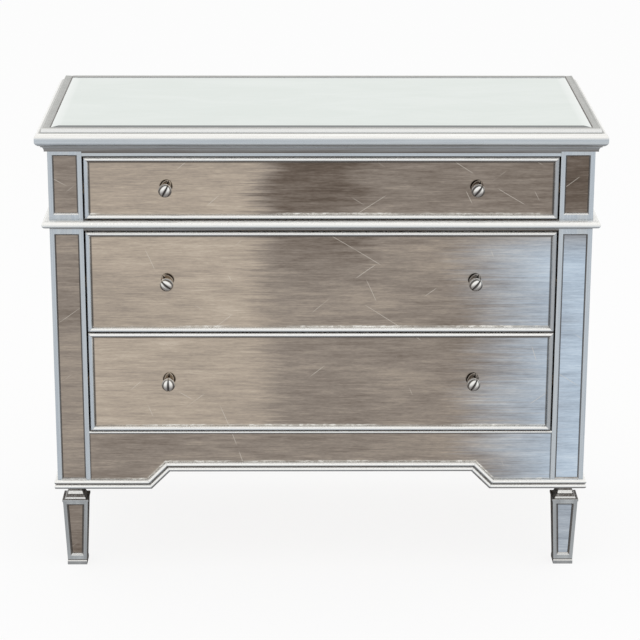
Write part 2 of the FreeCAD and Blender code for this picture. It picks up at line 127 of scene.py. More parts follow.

# How far the silver is painted bright (+) or dark (-): mostly painted highlights and painted shade, with dark
# mitre joints and some strips only darker
full_highlight = 1.0
full_shade = -1.0
fillet_highlight = 0.8
crown_shade = -0.2
quirk_shade = -0.5
back_strip_darkening = -0.4
cornice_painted_shade = -0.72
lip_shade = -0.35
round_highlight = 0.85
round_underside_shade = -0.9
right_bead_shade = -0.4
mitre_glaze = -0.6
top_rail_foot_shade = -0.3
top_rail_head_shade = -0.9
waist_rail_foot_shade = -0.95
waist_rail_middle_shade = -0.6
pocket_shade = -0.75
lower_sill_darkening = -0.6
board_shade_glaze = -0.3
leg_foot_shade = -0.4

# How far the painted shade reaches down from the cornice and the waist moulding
cornice_shade = 0.0042
waist_shade = 0.004

# Inlaid mirrors
inlay_border = 0.0085
inlay_depth = 0.003
inlay_bevel = 0.0025
inlay_glass = 0.003
glass_clearance = 0.0003

# Legs, from the floor up
leg_foot_width = 0.0385
leg_foot_block = 0.007
leg_foot_bevel = 0.004
leg_shaft_foot_width = 0.0376
leg_shaft_top_width = 0.0485
leg_shaft_height = 0.124
leg_collar_width = 0.051
leg_collar_height = 0.0045
leg_step_width = 0.041
leg_step_top_width = 0.033
leg_step_height = 0.0085
leg_neck_width = 0.030
leg_neck_top_width = 0.0245
leg_neck_flare = 0.0095
# Shares, from below, of the leg's step left plain and of its neck flare painted with a highlight; the rest of
# each is painted with shade
step_bright_share = 0.4
flare_bright_share = 0.65
leg_inlay_border = 0.0067
leg_inlay_head = 0.005
leg_inlay_sill = 0.0085
leg_inlay_depth = 0.0045
leg_inlay_bevel = 0.0035
leg_foot_z = leg_foot_block + leg_foot_bevel
leg_shaft_z = leg_foot_z + leg_shaft_height
leg_collar_z = leg_shaft_z + leg_collar_height
leg_step_z = leg_collar_z + leg_step_height
leg_flare_z = leg_step_z + leg_neck_flare
leg_face_turns_deg = {"front": 0, "outer": 90, "back": 180, "inner": 270}

# Knobs, and the turns of the left and right one of each drawer
knob_spread = 0.585
knob_radius = 0.013
knob_out = 0.019
knob_flute_depth = 0.0024
knob_lobes = 6
flute_sharpness = 1.6
flute_fade = 0.4
flute_shade_fade = 0.5
knob_rows = 40
knob_steps_per_lobe = 18
stem_steps = 40
stem_darkening = -0.2
knob_turns_deg = {"top": (28, 38), "middle": (-50, 40), "bottom": (0, 30)}

# Stem of a knob: its radius at each distance out of the mirror
stem_line = ((0.0066, 0.0), (0.007, 0.0004), (0.007, 0.002), (0.0065, 0.0025), (0.0054, 0.0027),
             (0.0049, 0.0035), (0.0047, 0.005), (0.005, 0.0065), (0.0056, 0.008))

# Stretches over which the finishes change: heights, then places from left to right
legs_to_case = (0.15, 0.166)
leg_glass_to_case = (0.14, 0.18)
apron_to_drawers = (0.27, 0.3)
dark_reflection_growing = (0.5, 0.78)
cool_reflection_fading = (0.62, 0.72)
case_to_top = (0.85, 0.88)
left_post_to_drawers = (-0.456, -0.446)
left_to_middle = (-0.14, -0.06)
dark_reflection_fading = (0.03, 0.12)
cool_reflection_growing = (0.24, 0.5)
drawers_to_right_post = (0.446, 0.456)

# Sets of scratches in the panes: degrees of lean from level, distance apart, bends to the metre
scratch_sets = ((31, 0.083, 1.3), (-38, 0.097, 1.9), (68, 0.12, 2.6))
scratch_width = 0.0009
scratch_bend = 0.06

# Studio
floor_reach = 30.0
floor_grey = (0.86, 0.86, 0.86, 1.0)
floor_glow_share = 0.87
white = (1.0, 1.0, 1.0, 1.0)
white_level = 1.0
fill_level = 0.92


def low(node):
    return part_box(node)[0]


def high(node):
    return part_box(node)[1]


# Places read from the frame
case_half = high("front_right_post").x
bay_half = low("front_right_post").x
front_y = low("front_right_post").y
post_back_y = high("front_right_post").y
back_y = high("rear_right_post").y
base_z = low("front_right_post").z
case_top = high("front_right_post").z
top_z = high("top_frame_front").z
cornice_z = low("cornice").z
waist_z = low("waist_moulding").z
board_y = high("top_drawer_bead").y
glass_y = low("top_drawer_mirror").y

body_of = {node: body for body, nodes in frame["record"]["behaviour"]["bodies"].items()
           for node in nodes}
sides = {"left": -1, "right": 1}


# Shader sums

class Value:
    """A socket that takes part in Python sums, each of which adds a Math node."""

    def __init__(self, finish, socket):
        self.finish = finish
        self.socket = socket

    def sum(self, operation, *terms):
        return self.finish.node("Math", {"operation": operation}, dict(enumerate(terms)))

    def __add__(self, other):
        return self.sum("ADD", self, other)

    def __radd__(self, other):
        return self.sum("ADD", other, self)

    def __sub__(self, other):
        return self.sum("SUBTRACT", self, other)

    def __rsub__(self, other):
        return self.sum("SUBTRACT", other, self)

    def __mul__(self, other):
        return self.sum("MULTIPLY", self, other)

    def __rmul__(self, other):
        return self.sum("MULTIPLY", other, self)

    def __neg__(self):
        return self.sum("MULTIPLY", self, -1.0)

    def above(self, other):
        return self.sum("MAXIMUM", self, other)

    def wave(self, pitch):
        """How far it is from the nearest whole number of pitches."""
        return self.sum("PINGPONG", self, pitch / 2)

    def smooth(self, start, end):
        """0 below start, 1 above end, with a soft step between them."""
        return self.finish.node("MapRange", {"interpolation_type": "SMOOTHSTEP"},
                                {"Value": self, "From Min": start, "From Max": end})


class Finish:
    """A material or world in the making; one method adds each of its nodes."""

    def __init__(self, owner):
        self.owner = owner
        owner.use_nodes = True
        self.tree = owner.node_tree
        self.tree.nodes.clear()

    def node(self, kind, settings=None, sockets=None, out=0):
        made = self.tree.nodes.new("ShaderNode" + kind)
        for name, setting in (settings or {}).items():
            if name == "stops":
                self.set_stops(made.color_ramp.elements, setting)
            else:
                setattr(made, name, setting)
        for name, given in (sockets or {}).items():
            if isinstance(given, Value):
                self.tree.links.new(given.socket, made.inputs[name])
            else:
                made.inputs[name].default_value = given
        return Value(self, made.outputs[out]) if made.outputs else made

    @staticmethod
    def set_stops(elements, stops):
        elements.remove(elements[-1])
        elements[0].position, elements[0].color = stops[0]
        for position, colour in stops[1:]:
            elements.new(position).color = colour

    def place(self, axis):
        spot = self.node("TexCoord", out="Object")
        return self.node("SeparateXYZ", None, {"Vector": spot}, axis)

    def cloud(self, stretch, detail=3.0, roughness=0.55, twist=0.0):
        """Noise over the piece's own place, with so many spots to the metre each way."""
        spot = self.node("TexCoord", out="Object")
        spot = self.node("Mapping", None, {"Vector": spot, "Scale": stretch})
        return self.node("TexNoise", None, {"Vector": spot, "Scale": 1.0, "Detail": detail,
                                            "Roughness": roughness, "Distortion": twist})

    def relief(self):
        return self.node("Attribute", {"attribute_name": "relief"}, out="Fac")

    def facing(self, axis):
        normal = self.node("NewGeometry", out="Normal")
        return self.node("SeparateXYZ", None, {"Vector": normal}, axis)

    def scratches(self, lean_deg, pitch, wander):
        """Broken thin lines that lean by so many degrees from level and lie a pitch apart."""
        lean = math.radians(lean_deg)
        across = math.sin(lean) * (self.place("X") + self.place("Y")) + math.cos(lean) * self.place("Z")
        bend = self.cloud((wander, wander, wander), detail=1.0)
        from_line = (across + scratch_bend * bend).wave(pitch)
        broken = self.cloud((6 + wander, 6 + wander, 9 + wander), detail=2.0).smooth(0.59, 0.65)
        return (1 - from_line.smooth(scratch_width / 3, scratch_width)) * broken

    def blend(self, share, first, second):
        return self.node("Mix", {"data_type": "RGBA"}, {0: share, 6: first, 7: second}, 2)

    def ramp(self, value, *stops):
        return self.node("ValToRGB", {"stops": stops}, {"Fac": value})

    def bump(self, height, distance, strength):
        return self.node("Bump", None, {"Strength": strength, "Distance": distance, "Height": height})

    def surface(self, **sockets):
        named = {name.replace("_", " ").title().replace("Ior", "IOR"): given
                 for name, given in sockets.items()}
        shader = self.node("BsdfPrincipled", None, named)
        self.node("OutputMaterial", None, {"Surface": shader})
        return self.owner


def paint(red, green, blue):
    """Colour as seen, each part from 0 to 255."""
    def linear(part):
        share = part / 255
        return share / 12.92 if share <= 0.04045 else ((share + 0.055) / 1.055) ** 2.4
    return (linear(red), linear(green), linear(blue), 1.0)


def new_finish(name):
    return Finish(bpy.data.materials.new(name))


# Finishes

brushed_stretch = {"x": (5, 380, 380), "y": (380, 5, 380), "z": (380, 380, 5)}
grain_stretch = {"x": (3, 70, 70), "y": (70, 3, 70), "z": (70, 70, 3)}


def silver_leaf(run):
    """Silver leaf brushed along the run, with painted shade in its hollows and on its undersides, and painted
    highlights on its rounds, arrises and upper faces.
    """
    f = new_finish("silver_leaf_" + run)
    brush = f.cloud(brushed_stretch[run], detail=4.0, roughness=0.6).smooth(0.28, 0.72)
    streak = f.cloud([s / 7 for s in brushed_stretch[run]]).smooth(0.3, 0.7)
    mottle = f.cloud((55, 55, 55), detail=4.0, roughness=0.65).smooth(0.35, 0.7)
    relief = f.relief()
    upwards = f.facing("Z")
    # Painted highlight on the rounds and arrises, away from faces that look down
    painted_highlight = relief.smooth(0.3, 1.0) * upwards.smooth(-0.42, -0.1) * (0.9 + 0.1 * mottle)
    # Painted shade where the relief is below nought: hollows, creases, lower edges of rounds, faces under
    # mouldings; also the dark mitre joints
    painted_shade = (-relief).smooth(0.0, 1.0)
    # Painted shade on faces that look down
    under = (-upwards).smooth(0.3, 0.85)
    shade_glaze = painted_shade.above(under * 0.8) * (0.6 + 0.25 * streak + 0.35 * brush)
    # Painted highlight on faces that tilt upwards
    tilted_highlight = upwards.smooth(0.02, 0.35)
    level = upwards.smooth(0.9, 0.995)
    # Painted shade on the level faces at the top of the case
    flat = level * f.place("Z").smooth(*case_to_top)
    # Painted shade on the legs near the floor, less on their tilted faces
    near_floor_shade = (1 - f.place("Z").smooth(*legs_to_case)) * (1 - 0.8 * tilted_highlight)
    colour = f.blend(brush, paint(172, 181, 190), paint(192, 200, 207))
    colour = f.blend(streak * 0.22, colour, paint(204, 200, 190))
    colour = f.blend(tilted_highlight * 0.9, colour, f.blend(brush, paint(238, 236, 231), paint(251, 250, 246)))
    colour = f.blend(flat * 0.9, colour, f.blend(streak, paint(136, 138, 133), paint(164, 165, 160)))
    colour = f.blend(near_floor_shade * 0.95, colour, f.blend(streak, paint(146, 149, 151), paint(172, 176, 178)))
    # The painted shade goes on in dark umber, the painted highlight in near white
    colour = f.blend(shade_glaze, colour, paint(98, 92, 87))
    colour = f.blend(painted_highlight * 0.9, colour, paint(246, 245, 241))
    return f.surface(
        base_color=colour,
        metallic=0.92 - 0.45 * shade_glaze.above(0.85 * tilted_highlight),
        roughness=0.2 + 0.12 * brush + 0.15 * shade_glaze + 0.08 * mottle,
        normal=f.bump(brush + 0.6 * mottle, distance=0.00025, strength=0.14),
    )


def shaded_glaze():
    """Dark matt finish, painted as shade, on the sides of the legs that face under the chest."""
    f = new_finish("shaded_glaze")
    brush = f.cloud(brushed_stretch["z"]).smooth(0.3, 0.7)
    colour = f.blend(brush, paint(78, 77, 76), paint(116, 115, 114))
    return f.surface(base_color=colour, roughness=0.7 + 0.2 * brush, specular_ior_level=0.0)


def reflection_tone(x, side, z):
    """How light the painted reflection is before its streaks: lighter at the left, darker in the upper middle
    and on the leg glass.
    """
    raised = z.smooth(*dark_reflection_growing)
    left = 1 - x.smooth(*left_to_middle)
    left_tone = 0.49 + 0.2 * z.smooth(*apron_to_drawers) * side.smooth(*left_post_to_drawers)
    middle_tone = 0.5 - 0.23 * raised + 0.19 * raised * x.smooth(*dark_reflection_fading)
    tone = left * left_tone + (1 - left) * middle_tone
    tone = tone - 0.17 * raised * side.smooth(*drawers_to_right_post)
    # The painted reflection is darker on the leg glass
    return tone - 0.08 * (1 - z.smooth(*leg_glass_to_case))


def smoke_mirror():
    """Silvered glass whose colour is a painted reflection streaked level like floorboards: warm at the left,
    dusky in the middle, cool at the right.
    """
    f = new_finish("smoke_mirror")
    fine = f.cloud((18, 18, 420), detail=5.0, roughness=0.7)
    dashes = f.cloud((95, 95, 480), roughness=0.6)
    broad = f.cloud((12, 12, 110), detail=4.0, roughness=0.6)
    drift = f.cloud((3, 3, 9))
    feather = f.cloud((5, 5, 260))
    side, z = f.place("X"), f.place("Z")
    x = side + 0.14 * (drift - 0.5) + 0.13 * (feather - 0.5)
    tone = reflection_tone(x, side, z) + 0.48 * (fine - 0.5) + 0.22 * (dashes - 0.5)
    tone = tone + 0.4 * (broad - 0.5) + 0.4 * (drift - 0.5)
    warm = f.ramp(tone, (0.0, paint(60, 52, 46)), (0.25, paint(100, 89, 80)), (0.5, paint(141, 131, 122)),
                  (0.75, paint(180, 167, 152)), (1.0, paint(214, 202, 186)))
    cool = f.ramp(tone, (0.2, paint(140, 153, 168)), (0.5, paint(186, 201, 216)),
                  (0.8, paint(222, 232, 240)))
    # Cool painted reflection over the right of the front panes, fading upwards
    frontal = (-f.facing("Y")).smooth(0.5, 0.9)
    cool_reflection = x.smooth(*cool_reflection_growing) * (1 - z.smooth(*cool_reflection_fading)) * frontal
    colour = f.blend(cool_reflection * (0.65 + 0.35 * z.smooth(*leg_glass_to_case)), warm, cool)
    rising, falling, steep = [f.scratches(*lines) for lines in scratch_sets]
    scratch = rising.above(falling).above(steep)
    colour = f.blend(scratch * 0.45, colour, paint(222, 215, 205))
    relief = f.relief()
    # Painted shade along the head and sides, next to the beads
    dark_edge = (-relief).smooth(0.0, 1.0)
    colour = f.blend(dark_edge * 0.85, colour, paint(80, 77, 74))
    # Along the sill, flakes of silvering and a lighter painted reflection of the bead below
    sill_flakes_and_reflection = relief.smooth(0.0, 0.9)
    specks = f.cloud((110, 110, 420), detail=2.0).smooth(0.46, 0.6)
    patches = f.cloud((6, 6, 6), detail=2.0).smooth(0.38, 0.6)
    flecks = sill_flakes_and_reflection * specks * patches
    colour = f.blend(sill_flakes_and_reflection * (0.15 + 0.55 * patches), colour, paint(216, 212, 203))
    colour = f.blend(flecks, colour, paint(250, 248, 242))
    return f.surface(
        base_color=colour,
        metallic=1.0 - 0.6 * flecks,
        roughness=0.03 + 0.03 * fine + 0.25 * scratch + 0.2 * sill_flakes_and_reflection,
    )


def clear_mirror():
    """Pale bevelled mirror, faintly wiped, with painted shade on its front bevel and edges and painted
    highlights on its other bevels.
    """
    f = new_finish("clear_mirror")
    wipe = f.cloud((6, 14, 14), detail=4.0, roughness=0.6, twist=0.6).smooth(0.3, 0.75)
    relief = f.relief()
    # Painted shade and painted highlights from the relief of the bevels
    shade = (-relief).smooth(0.0, 1.0)
    bright = relief.smooth(0.0, 1.0)
    colour = f.blend(wipe, paint(214, 222, 216), paint(220, 227, 222))
    colour = f.blend(bright, colour, paint(248, 250, 248))
    colour = f.blend(shade, colour, paint(90, 94, 94))
    return f.surface(base_color=colour, metallic=1.0, roughness=0.03 + 0.04 * wipe)


def polished_knob():
    """Polished cast metal, with painted shade in its flutes and on its underside."""
    f = new_finish("polished_knob")
    cast = f.cloud((300, 300, 300))
    flute_shade = (-f.relief()).smooth(0.05, 0.5)
    # Painted shade on faces that look down
    under = 1 - f.facing("Z").smooth(-0.4, 0.5)
    colour = f.blend(cast, paint(232, 231, 227), paint(245, 244, 240))
    colour = f.blend(under * 0.85, colour, paint(100, 95, 94))
    colour = f.blend(flute_shade * 0.9, colour, paint(62, 57, 56))
    return f.surface(base_color=colour, metallic=1.0, roughness=0.1 + 0.08 * cast + 0.15 * flute_shade)


def drawer_wood(run):
    """Pale hardwood with a clear satin lacquer."""
    f = new_finish("drawer_wood_" + run)
    grain = f.cloud(grain_stretch[run], detail=5.0, roughness=0.6, twist=0.8)
    pores = f.cloud([s * 5 for s in grain_stretch[run]]).smooth(0.5, 0.72)
    colour = f.ramp(grain, (0.25, paint(170, 134, 92)), (0.5, paint(201, 168, 124)),
                    (0.75, paint(218, 188, 146)))
    colour = f.blend(pores * 0.35, colour, paint(140, 104, 66))
    return f.surface(
        base_color=colour,
        roughness=0.42 + 0.2 * pores,
        normal=f.bump(grain - 0.5 * pores, distance=0.0003, strength=0.3),
        coat_weight=0.25,
    )


def plywood():
    """Bare sheet board with an upright straight grain, a soft figure and dark pores."""
    f = new_finish("plywood")
    figure = f.cloud((2.2, 2.2, 0.7), roughness=0.5, twist=1.2)
    grain = f.cloud((70, 70, 1.6), detail=4.0, roughness=0.6, twist=0.3)
    pores = f.cloud((520, 520, 22)).smooth(0.52, 0.72)
    shade = 0.6 * grain + 0.4 * figure
    colour = f.ramp(shade, (0.3, paint(168, 138, 102)), (0.5, paint(192, 163, 125)),
                    (0.7, paint(208, 182, 146)))
    colour = f.blend(pores * 0.4, colour, paint(138, 108, 78))
    return f.surface(
        base_color=colour,
        roughness=0.6 + 0.2 * pores,
        normal=f.bump(grain - pores, distance=0.0003, strength=0.3),
    )


def zinc_steel():
    """Zinc-plated steel with a faint spangle."""
    f = new_finish("zinc_steel")
    spangle = f.cloud((500, 500, 500), detail=2.0).smooth(0.3, 0.7)
    colour = f.blend(spangle, paint(150, 151, 153), paint(196, 197, 196))
    return f.surface(base_color=colour, metallic=1.0, roughness=0.3 + 0.15 * spangle)


silver = {run: silver_leaf(run) for run in "xyz"}
wood = {run: drawer_wood(run) for run in "xyz"}
dark_side = shaded_glaze()
painted_reflection_glass = smoke_mirror()
clear = clear_mirror()
knob_metal = polished_knob()
sheet_board = plywood()
zinc = zinc_steel()


# Meshes

class Shape:
    """Solids gathered into one piece; each face corner says how far it is painted bright (+) or dark (-),
    mostly as painted highlight and shade.
    """

    def __init__(self):
        self.mesh = bmesh.new()
        self.relief = self.mesh.loops.layers.float.new("relief")

    def face(self, points, reliefs=None, finish=0):
        made = self.mesh.faces.new(points)
        made.smooth = True
        made.material_index = finish
        for i, loop in enumerate(made.loops):
            loop[self.relief] = reliefs[i] if reliefs else 0.0

    def patch(self, corners, reliefs=None, finish=0):
        """Face with points of its own, joined to its neighbours when the piece is welded."""
        self.face([self.mesh.verts.new(corner) for corner in corners], reliefs, finish)

    def steps(self, rims, reliefs):
        """Patches from each four-cornered rim to the next, with the reliefs of each patch."""
        for near, far, relief in zip(rims, rims[1:], reliefs):
            for i in range(4):
                j = (i + 1) % 4
                self.patch([near[i], near[j], far[j], far[i]], relief[i])

    def loft(self, rings, reliefs, finish=0):
        """Closed skin over rings of points, each with its reliefs."""
        made = [[self.mesh.verts.new(point) for point in ring] for ring in rings]
        count = len(made[0])
        for k in range(len(made) - 1):
            for i in range(count):
                j = (i + 1) % count
                self.face([made[k][i], made[k][j], made[k + 1][j], made[k + 1][i]],
                          [reliefs[k][i], reliefs[k][j], reliefs[k + 1][j], reliefs[k + 1][i]], finish)
        self.face(made[0][::-1], None, finish)
        self.face(made[-1], None, finish)

    def weld(self):
        bmesh.ops.remove_doubles(self.mesh, verts=self.mesh.verts, dist=weld_reach)

    def piece(self, name, node, finishes, ease=0.0):
        bmesh.ops.recalc_face_normals(self.mesh, faces=self.mesh.faces)
        data = bpy.data.meshes.new(name)
        self.mesh.to_mesh(data)
        self.mesh.free()
        for finish in finishes:
            data.materials.append(finish)
        made = bpy.data.objects.new(name, data)
        bpy.context.scene.collection.objects.link(made)
        if ease:
            bevel = made.modifiers.new("ease", "BEVEL")
            bevel.width = ease
            bevel.segments = ease_steps
            bevel.limit_method = "ANGLE"
            bevel.angle_limit = sharp_turn
            bevel.harden_normals = True
        else:
            data.set_sharp_from_angle(angle=crease)
        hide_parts(node)
        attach(made, body_of[node])
        return made


# Sections: closed lines run counter-clockwise through (distance out, height)

def bowed(start, end, share):
    """Points on the arc between two corners, whose rise is a share of its chord."""
    chord = end - start
    aside = Vector((chord.y, -chord.x)).normalized()
    along = chord.normalized()
    half_turn = 2 * math.atan(2 * share)
    radius = chord.length / (2 * math.sin(half_turn))
    centre = (start + end) / 2 + aside * (share * chord.length - radius)
    turns = [half_turn * (2 * i / arc_steps - 1) for i in range(1, arc_steps)]
    return [centre + radius * (math.cos(turn) * aside + math.sin(turn) * along) for turn in turns]


def section(corners):
    """(point, relief) pairs round a section; a corner's third value bows the run that ends there."""
    line = []
    before = corners[-1]
    for corner in corners:
        start, end = Vector(before[:2]), Vector(corner[:2])
        if len(corner) > 2:
            line += bowed(start, end, corner[2])
        line.append(end)
        before = corner
    return eased(line)


def eased(line):
    """The line with its sharp corners rounded: painted with a highlight where they stand out, with shade
    where they go in.
    """
    points = []
    for i, here in enumerate(line):
        back, ahead = line[i - 1] - here, line[(i + 1) % len(line)] - here
        turn = math.atan2(back.y * ahead.x - back.x * ahead.y, -back.dot(ahead))
        if abs(turn) < sharp_turn:
            points.append((here, 0.0))
            continue
        reach = min(arris_ease, back.length / 3, ahead.length / 3)
        first = here + back.normalized() * reach
        last = here + ahead.normalized() * reach
        bend = (first + 2 * here + last) / 4
        points += [(first, 0.0), (bend, full_highlight if turn > 0 else full_shade), (last, 0.0)]
    return points


def drawn_in(line, depth):
    """The same closed line moved inwards by a small depth."""
    moved = []
    for i, here in enumerate(line):
        along = (line[(i + 1) % len(line)] - line[i - 1]).normalized()
        moved.append(here - depth * Vector((along.y, -along.x)))
    return moved


def length(shape, outline, start, end, finish=0):
    """Straight run of a section between two ends, whose end arrises are eased."""
    line = [point for point, _ in outline]
    reliefs = [relief for _, relief in outline]
    ends = drawn_in(line, mitre_ease)
    rings = [[start(*point) for point in ends], [], [], [end(*point) for point in ends]]
    for point in line:
        first, last = start(*point), end(*point)
        step = (last - first).normalized() * mitre_ease
        rings[1].append(first + step)
        rings[2].append(last - step)
    glazed = [mitre_glaze] * len(line)
    shape.loft(rings, [glazed, reliefs, reliefs, glazed], finish)


def front_run(shape, outline):
    """Length across the front, mitred at both corners of the case."""
    length(shape, outline, lambda n, z: Vector((-case_half - n, front_y - n, z)),
           lambda n, z: Vector((case_half + n, front_y - n, z)))


def side_run(shape, outline, side, finish=0):
    """Length along one side of the case, mitred at the front and cut square at the back."""
    length(shape, outline, lambda n, z: Vector((side * (case_half + n), front_y - n, z)),
           lambda n, z: Vector((side * (case_half + n), back_y, z)), finish)


# Top

def top_outline():
    """Section of the front and side lengths of the frame, with its painted highlights and shade."""
    inner = top_overhang - ovolo_run - quirk_width - top_flat_width
    ovolo_n = top_overhang - ovolo_run
    fillet_n = ovolo_n - quirk_width
    crown_n = fillet_n - fillet_lean
    nose_z = case_top + nose_drop
    ovolo_z = nose_z + nose_face
    quirk_z = ovolo_z + ovolo_rise
    flat_slope = top_flat_dip / (crown_n - fillet_radius - inner)

    def flat(share):
        """Point of the flat that is a share of the groove's width away from the mirror."""
        return (inner + share * top_groove_width,
                top_z - top_flat_dip + flat_slope * share * top_groove_width)
    outline = section([
        (inner, case_top), (cornice_out, case_top), (top_overhang, nose_z, nose_share),
        (top_overhang, ovolo_z - nose_line), (top_overhang, ovolo_z), (ovolo_n, quirk_z, ovolo_share),
        (fillet_n, quirk_z), (fillet_n, quirk_z + quirk_width), (crown_n, top_z - fillet_radius),
        (crown_n - fillet_radius, top_z, quarter_round_share), flat(1), flat(groove_full_share), flat(0),
    ])

    # Painted shade along the groove by the mirror, on the crown and in the quirk; painted highlights on the
    # fillet and the top of the nose
    def shade_and_highlight(point, relief):
        if point.x < inner + (1 + groove_full_share) / 2 * top_groove_width:
            return full_shade
        if point.y > top_z - fillet_radius:
            return min(relief, crown_shade)
        if point.y > quirk_z + quirk_width / 2:
            return fillet_highlight
        if point.y > quirk_z - arris_ease / 2 and point.x < ovolo_n + arris_ease / 2:
            return quirk_shade
        return fillet_highlight if abs(point.y - ovolo_z) < arris_ease else relief
    return [(point, shade_and_highlight(point, relief)) for point, relief in outline]


def top_frame():
    outline = top_outline()
    front = Shape()
    front_run(front, outline)
    front.piece("silvered_top_front", "top_frame_front", [silver["x"]])
    for name, side in sides.items():
        shape = Shape()
        side_run(shape, outline, side)
        shape.piece("silvered_top_" + name, "top_frame_" + name, [silver["y"]])


def top_back_strip():
    foot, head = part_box("top_frame_back")
    outline = section([
        (foot.y, case_top), (head.y, case_top), (head.y, top_z - fillet_radius),
        (head.y - fillet_radius, top_z, quarter_round_share), (foot.y, top_z),
    ])
    # The back strip of the top is painted darker
    outline = [(point, back_strip_darkening) for point, _ in outline]
    shape = Shape()
    length(shape, outline, lambda y, z: Vector((foot.x, y, z)), lambda y, z: Vector((head.x, y, z)))
    shape.piece("silvered_top_back", "top_frame_back", [silver["x"]])


def top_mirror():
    foot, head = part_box("top_mirror")
    rim_z = head.z - top_bevel_drop

    def rim(inset, z):
        x0, x1, y0, y1 = foot.x + inset, head.x - inset, foot.y + inset, head.y - inset
        return [Vector((x0, y0, z)), Vector((x1, y0, z)), Vector((x1, y1, z)), Vector((x0, y1, z))]
    rims = [rim(0, foot.z), rim(0, rim_z),
            rim(bevel_shade_share * top_bevel_width, rim_z + bevel_shade_share * top_bevel_drop),
            rim(top_bevel_width, head.z)]

    def fade(near, far):
        return [near, near, far, far]
    # Painted shade on the glass edges and the front bevel; painted highlights on the other bevels
    shades = [[fade(mirror_edge_shade, mirror_edge_shade)] * 4,
              [fade(front_bevel_foot_shade, front_bevel_shade)] + [fade(bevel_foot_bright, bevel_bright)] * 3,
              [fade(bevel_foot_bright, bevel_head_bright)] + [fade(bevel_bright, bevel_head_bright)] * 3]
    shape = Shape()
    shape.patch(rims[0][::-1])
    shape.steps(rims, shades)
    shape.patch(rims[-1])
    shape.weld()
    made = shape.piece("bevelled_top_mirror", "top_mirror", [clear])
    for polygon in made.data.polygons:
        polygon.use_smooth = False


# Mouldings round the case

def case_moulding(outline, name, node):
    shape = Shape()
    front_run(shape, outline)
    for side in sides.values():
        side_run(shape, outline, side, 1)
    shape.piece(name, node, [silver["x"], silver["y"]])


def cornice():
    lip_z = case_top - cornice_lip_height
    outline = section([
        (0, cornice_z), (cornice_foot_out, cornice_z),
        (cornice_out - cornice_lip_width, lip_z, cornice_share), (cornice_out, lip_z),
        (cornice_out, case_top), (0, case_top),
    ])
    # Painted shade over the cornice, lighter along its lip
    outline = [(point, lip_shade if abs(point.y - lip_z) < arris_ease else cornice_painted_shade)
               for point, _ in outline]
    case_moulding(outline, "silvered_cornice", "cornice")


def lit_and_shaded_rounds(outline, edge, foot, height, shade):
    """Outline whose rounds, beyond an edge, are painted with a highlight above and with shade along a share
    below.
    """
    lit_and_shaded = []
    for point, relief in outline:
        if relief >= 0 and point.x > edge + arris_ease / 4:
            relief = round_highlight if (point.y - foot) % height > shade * height else round_underside_shade
        lit_and_shaded.append((point, relief))
    return lit_and_shaded


def waist_moulding():
    head_z = high("waist_moulding").z
    out = front_y - low("waist_moulding").y
    round_n = out - (head_z - waist_z) / 2
    outline = section([(0, waist_z), (round_n, waist_z), (round_n, head_z, half_round_share), (0, head_z)])
    outline = lit_and_shaded_rounds(outline, round_n, waist_z, head_z - waist_z, waist_round_shade)
    case_moulding(outline, "silvered_waist_moulding", "waist_moulding")


def base_path():
    head = notch_foot - notch_rise
    high_z = base_z + notch_rise
    return [Vector((-case_half, base_z)), Vector((-notch_foot, base_z)), Vector((-head, high_z)),
            Vector((head, high_z)), Vector((notch_foot, base_z)), Vector((case_half, base_z))]


def mitres(path):
    """At each corner, the way to move so as to rise by one, square to both runs that meet there."""
    normals = [Vector((a.y - b.y, b.x - a.x)).normalized() for a, b in zip(path, path[1:])]
    pairs = zip(normals[:1] + normals, normals + normals[-1:])
    return [(before + after) / (1 + before.dot(after)) for before, after in pairs]


def base_moulding():
    bead = base_height / 2
    lip = front_y - low("base_moulding").y - bead / 2
    outline = section([(0, 0), (lip, 0), (lip, bead, half_round_share),
                       (lip, base_height, half_round_share), (0, base_height)])
    outline = lit_and_shaded_rounds(outline, lip, 0, bead, base_round_shade)
    path = base_path()
    rises = mitres(path)

    def corner(k):
        def place(n, t):
            spot = path[k] + rises[k] * t
            outer = {0: -n, len(path) - 1: n}.get(k, 0.0)
            return Vector((spot.x + outer, front_y - n, spot.y))
        return place
    shape = Shape()
    for k in range(len(path) - 1):
        length(shape, outline, corner(k), corner(k + 1))
    for side in sides.values():
        raised = [(Vector((point.x, point.y + base_z)), relief) for point, relief in outline]
        side_run(shape, raised, side, 1)
    shape.piece("silvered_base_moulding", "base_moulding", [silver["x"], silver["y"]])


def apron_strip():
    foot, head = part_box("apron_strip")
    nose = front_y - foot.y - (head.z - foot.z) / 2
    back = front_y - head.y
    outline = section([(back, foot.z), (nose, foot.z), (nose, head.z, half_round_share), (back, head.z)])
    outline = lit_and_shaded_rounds(outline, nose, foot.z, head.z - foot.z, sill_bead_shade)
    shape = Shape()
    length(shape, outline, lambda n, z: Vector((foot.x, front_y - n, z)),
           lambda n, z: Vector((head.x, front_y - n, z)))
    shape.piece("silvered_apron_strip", "apron_strip", [silver["x"]])


# Rails, painted with shade where a moulding shades them

def shaded_rail(node, levels):
    """Rail with so much relief at each height of its face."""
    foot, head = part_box(node)
    rings = [[Vector((foot.x, foot.y, z)), Vector((head.x, foot.y, z)),
              Vector((head.x, head.y, z)), Vector((foot.x, head.y, z))] for z, _ in levels]
    shape = Shape()
    shape.loft(rings, [[relief] * 4 for _, relief in levels])
    shape.piece("silvered_" + node, node, [silver["x"]])


